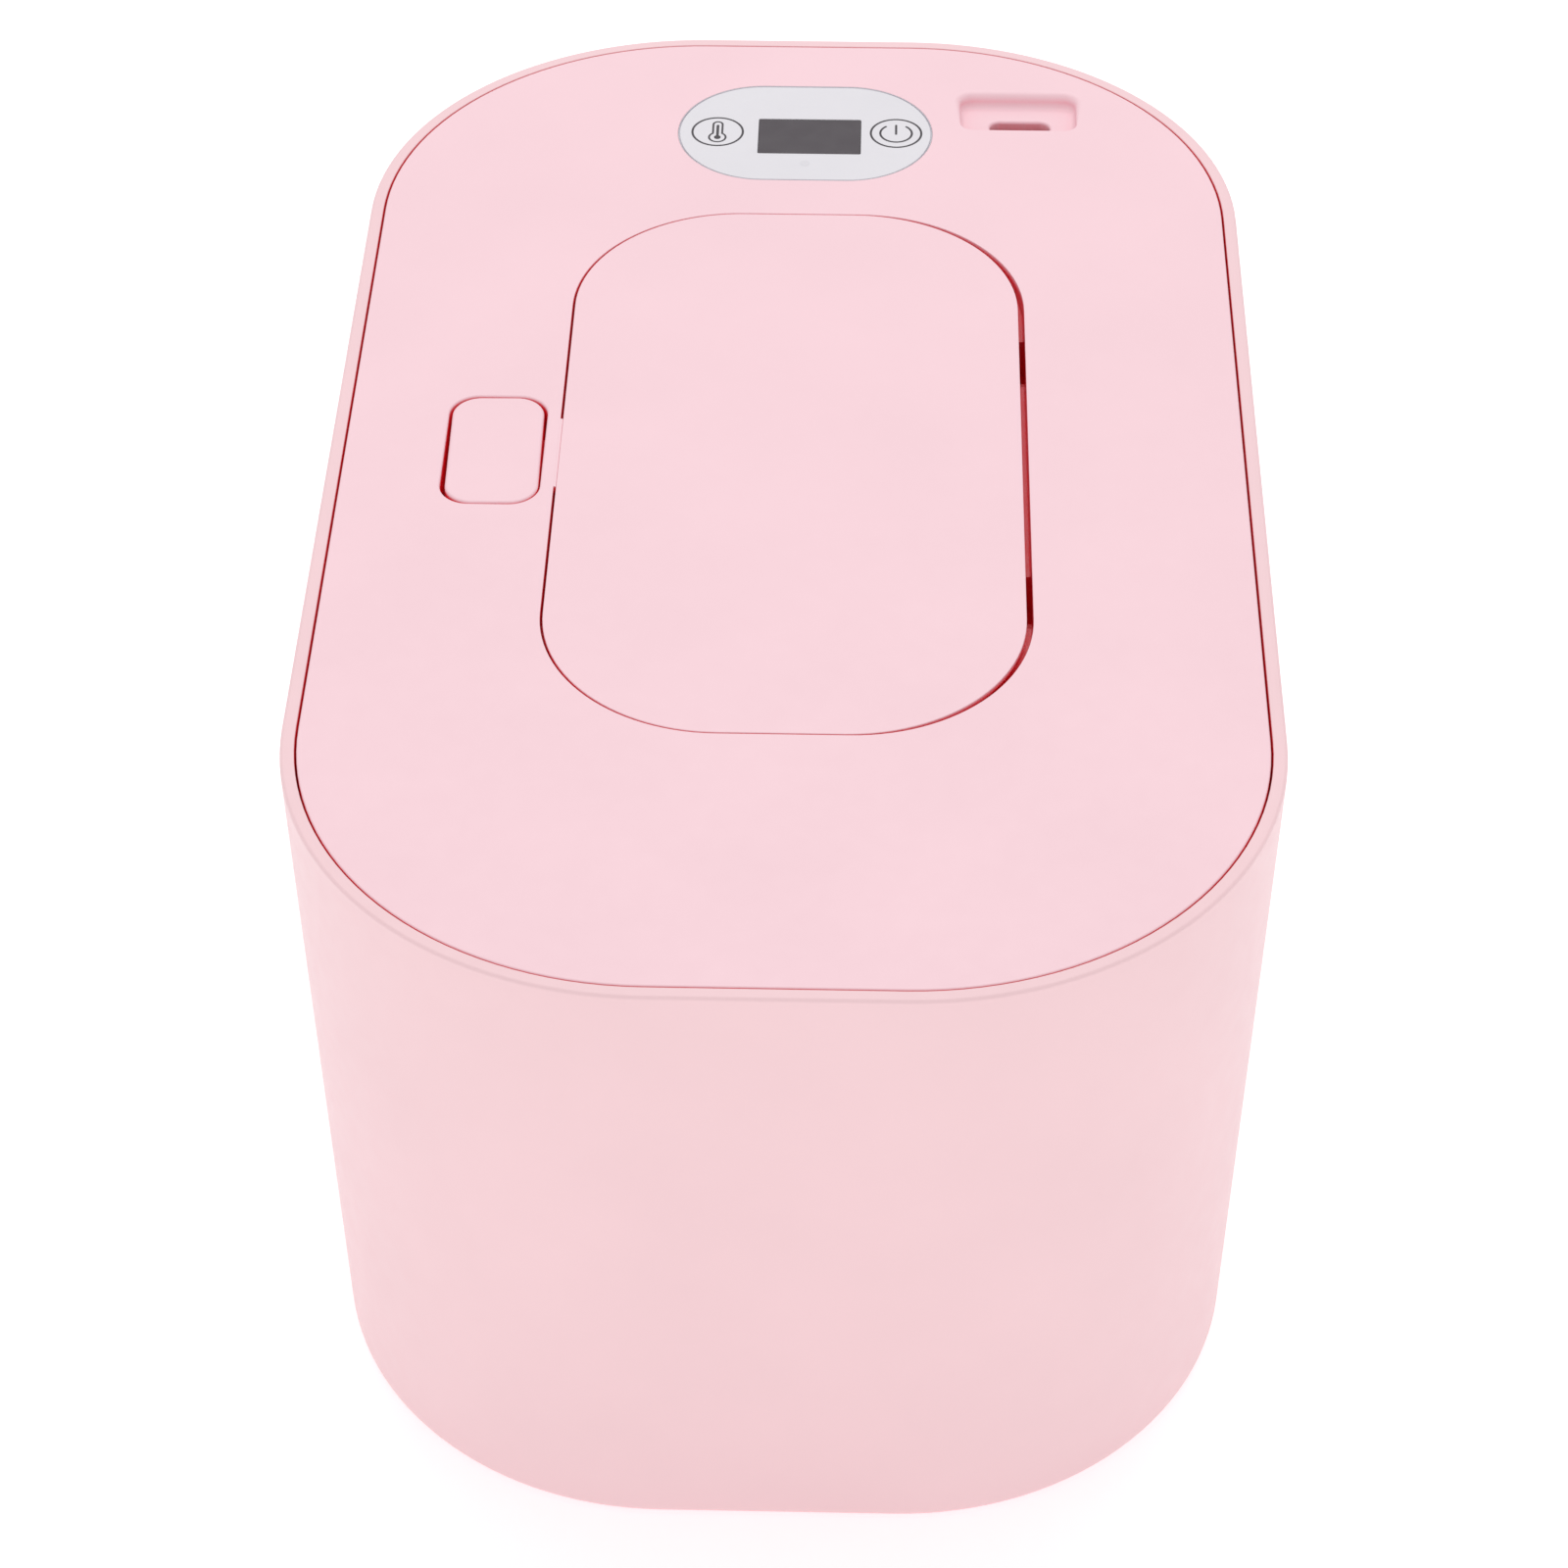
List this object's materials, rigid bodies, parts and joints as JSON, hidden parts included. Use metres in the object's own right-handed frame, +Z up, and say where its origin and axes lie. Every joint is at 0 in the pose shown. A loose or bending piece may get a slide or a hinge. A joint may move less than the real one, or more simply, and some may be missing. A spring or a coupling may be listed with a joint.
{
  "type": "wet wipes warmer",
  "caption": "Oblong heated wet-wipes box with a lift-off cover set in its rim, a flush sprung flip lid with a push button, a control panel with a display, and an upright power socket.",
  "frame": {"origin": "on the floor under the middle of the tub, at the bottom of the feet", "axes": "+Z up; +Y along the length, towards the end with the control panel; +X towards the flip lid's hinge"},
  "size_m": [0.13, 0.2176, 0.102],
  "materials": {
    "pink_plastic": "satin moulded ABS",
    "inner_plastic": "matt moulded PP",
    "silicone": "matt translucent silicone",
    "foot_rubber": "matt rubber",
    "overlay_grey": "fine matt film, printed keys",
    "smoked_window": "smoked",
    "aluminium_sheet": "brushed",
    "plated_steel": "nickel plated",
    "heater_foil": "polyimide film",
    "foam": "closed-cell foam",
    "circuit_board": "solder mask",
    "black_plastic": "moulded",
    "lead_wire": "insulated wire"
  },
  "bodies": {
    "tub": {"body_shell": "pink_plastic", "foot_front_left": "foot_rubber", "foot_front_right": "foot_rubber", "foot_back_left": "foot_rubber", "foot_back_right": "foot_rubber"},
    "cover": {"cover_panel": "pink_plastic", "cover_inner": "inner_plastic", "cover_seal": "silicone", "outlet_ring": "silicone", "heater_plate": "aluminium_sheet", "heater_film": "heater_foil", "insulation_pad": "foam", "ntc_sensor": "black_plastic", "thermal_cutoff": "black_plastic", "display_overlay": "overlay_grey", "display_window": "smoked_window", "led_display": "black_plastic", "control_board": "circuit_board", "control_chip": "black_plastic", "touch_spring_left": "plated_steel", "touch_spring_right": "plated_steel", "usb_socket": "plated_steel", "usb_board": "circuit_board", "cover_screw_1": "plated_steel", "cover_screw_2": "plated_steel", "cover_screw_3": "plated_steel", "cover_screw_4": "plated_steel", "cover_screw_5": "plated_steel", "cover_screw_6": "plated_steel", "cover_screw_7": "plated_steel", "cover_screw_8": "plated_steel", "heater_screw_1": "plated_steel", "heater_screw_2": "plated_steel", "heater_screw_3": "plated_steel", "heater_screw_4": "plated_steel", "board_screw_1": "plated_steel", "board_screw_2": "plated_steel", "usb_lead": "lead_wire", "heater_lead": "lead_wire", "cutoff_lead": "lead_wire", "sensor_lead": "lead_wire", "hinge_pin": "plated_steel", "lid_spring": "plated_steel", "latch_spring": "plated_steel"},
    "flip_lid": {"flip_lid": "pink_plastic", "flip_gasket": "silicone"},
    "latch_button": {"latch_button": "pink_plastic"}
  },
  "joints": [
    {"name": "cover_lift", "type": "slide", "parent": "tub", "child": "cover", "axis": [0, 0, 1], "range_m": [0, 0.06]},
    {"name": "flip_lid_hinge", "type": "hinge", "parent": "cover", "child": "flip_lid", "pos_m": [0.0372, 0, 0.098], "axis": [0, 1, 0], "range_deg": [0, 100]},
    {"name": "latch_press", "type": "slide", "parent": "cover", "child": "latch_button", "axis": [0, 0, -1], "range_m": [0, 0.0012], "stiffness_N_per_m": 800, "springref_m": -0.001, "deforming": ["latch_spring"]}
  ]
}
